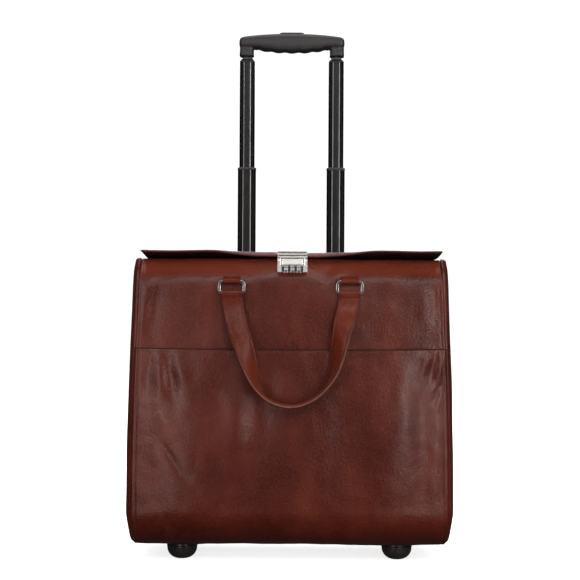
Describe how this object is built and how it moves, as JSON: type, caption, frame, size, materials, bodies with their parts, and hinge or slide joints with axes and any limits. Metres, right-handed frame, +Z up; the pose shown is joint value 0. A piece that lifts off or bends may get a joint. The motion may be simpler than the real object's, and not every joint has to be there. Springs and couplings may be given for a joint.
{
  "type": "pilot rolling flight case",
  "caption": "Soft-sided leather flight case: lid with combination lock, slip pocket, grab handles on rings, telescopic trolley handle, wheels and feet.",
  "frame": {"origin": "on the floor, under the middle of the case's outline", "axes": "+Z up, the front with its pocket and lock faces -Y, the trolley and wheels are at +Y"},
  "size_m": [0.436, 0.2712, 0.7495],
  "materials": {
    "body_leather": "semi-gloss grained",
    "strap_leather": "semi-gloss grained",
    "lining_cloth": "woven",
    "board": "cloth-covered board",
    "nickel": "satin",
    "steel": "satin",
    "black_tube": "black anodised",
    "black_plastic": "moulded",
    "grip_plastic": "soft-touch",
    "tyre_rubber": "matte"
  },
  "bodies": {
    "case": {"front_panel": "body_leather", "front_pocket": "body_leather", "back_panel": "body_leather", "base_panel": "body_leather", "gusset_left": "body_leather", "gusset_right": "body_leather", "inner_back_wall": "board", "lining": "lining_cloth", "front_edge_bar": "steel", "divider_pad": "lining_cloth", "laptop_strap": "body_leather", "hinge_strip": "body_leather", "lock_base": "nickel", "dial_axle": "steel", "ring_tab_front_left": "strap_leather", "ring_tab_front_right": "strap_leather", "ring_tab_rear_left": "strap_leather", "ring_tab_rear_right": "strap_leather", "trolley_base": "black_plastic", "trolley_bezel": "black_plastic", "outer_tube_left": "black_tube", "outer_tube_right": "black_tube", "wheel_housing_left": "black_plastic", "wheel_housing_right": "black_plastic", "axle_left": "steel", "axle_right": "steel", "foot_left": "black_plastic", "foot_right": "black_plastic"},
    "lid": {"lid_panel": "body_leather", "lid_lining": "lining_cloth", "lid_hasp": "nickel"},
    "push_plate": {"lock_push_plate": "nickel"},
    "dial_a": {"dial_1": "nickel"},
    "dial_b": {"dial_2": "nickel"},
    "dial_c": {"dial_3": "nickel"},
    "front_rings": {"ring_front_left": "nickel", "ring_front_right": "nickel"},
    "front_handle": {"strap_front": "strap_leather"},
    "rear_rings": {"ring_rear_left": "nickel", "ring_rear_right": "nickel"},
    "rear_handle": {"strap_rear": "strap_leather"},
    "stage_a": {"stage_a_tube_left": "black_tube", "stage_a_tube_right": "black_tube", "stage_a_bush_left": "black_plastic", "stage_a_bush_right": "black_plastic"},
    "stage_b": {"stage_b_tube_left": "black_tube", "stage_b_tube_right": "black_tube", "grip_stem_left": "black_plastic", "grip_stem_right": "black_plastic", "grip": "grip_plastic", "lock_pin_left": "steel", "lock_pin_right": "steel"},
    "release": {"release_button": "grip_plastic", "release_bar": "steel", "release_rod_left": "steel", "release_rod_right": "steel"},
    "wheel_left": {"tyre_left": "tyre_rubber", "hub_left": "black_plastic"},
    "wheel_right": {"tyre_right": "tyre_rubber", "hub_right": "black_plastic"}
  },
  "joints": [
    {"name": "lid_hinge", "type": "hinge", "parent": "case", "child": "lid", "pos_m": [0, 0.06, 0.4105], "axis": [-1, 0, 0], "range_deg": [0, 90]},
    {"name": "push_plate_slide", "type": "slide", "parent": "case", "child": "push_plate", "axis": [0, 1, 0], "range_m": [0, 0.0024], "stiffness_N_per_m": 200, "springref_m": -0.002},
    {"name": "dial_a_turn", "type": "hinge", "parent": "case", "child": "dial_a", "pos_m": [-0.0064, -0.106, 0.397], "axis": [1, 0, 0], "continuous": true},
    {"name": "dial_b_turn", "type": "hinge", "parent": "case", "child": "dial_b", "pos_m": [0.002, -0.106, 0.397], "axis": [1, 0, 0], "continuous": true},
    {"name": "dial_c_turn", "type": "hinge", "parent": "case", "child": "dial_c", "pos_m": [0.0104, -0.106, 0.397], "axis": [1, 0, 0], "continuous": true},
    {"name": "front_ring_hinge", "type": "hinge", "parent": "case", "child": "front_rings", "pos_m": [0, -0.1022, 0.3812], "axis": [-1, 0, 0], "range_deg": [0, 150]},
    {"name": "front_handle_hinge", "type": "hinge", "parent": "front_rings", "child": "front_handle", "pos_m": [0, -0.1022, 0.3658], "axis": [-1, 0, 0], "range_deg": [0, 15]},
    {"name": "rear_ring_hinge", "type": "hinge", "parent": "case", "child": "rear_rings", "pos_m": [0, 0.1022, 0.3812], "axis": [1, 0, 0], "range_deg": [0, 150]},
    {"name": "rear_handle_hinge", "type": "hinge", "parent": "rear_rings", "child": "rear_handle", "pos_m": [0, 0.1022, 0.3658], "axis": [1, 0, 0], "range_deg": [0, 15]},
    {"name": "stage_a_slide", "type": "slide", "parent": "case", "child": "stage_a", "axis": [0, 0, 1], "range_m": [-0.145, 0.125]},
    {"name": "stage_b_slide", "type": "slide", "parent": "stage_a", "child": "stage_b", "axis": [0, 0, 1], "range_m": [-0.162, 0.135]},
    {"name": "release_slide", "type": "slide", "parent": "stage_b", "child": "release", "axis": [0, 0, -1], "range_m": [0, 0.0034], "stiffness_N_per_m": 800, "springref_m": -0.003},
    {"name": "wheel_left_spin", "type": "hinge", "parent": "case", "child": "wheel_left", "pos_m": [-0.165, 0.09, 0.025], "axis": [1, 0, 0], "continuous": true},
    {"name": "wheel_right_spin", "type": "hinge", "parent": "case", "child": "wheel_right", "pos_m": [0.165, 0.09, 0.025], "axis": [1, 0, 0], "continuous": true}
  ]
}
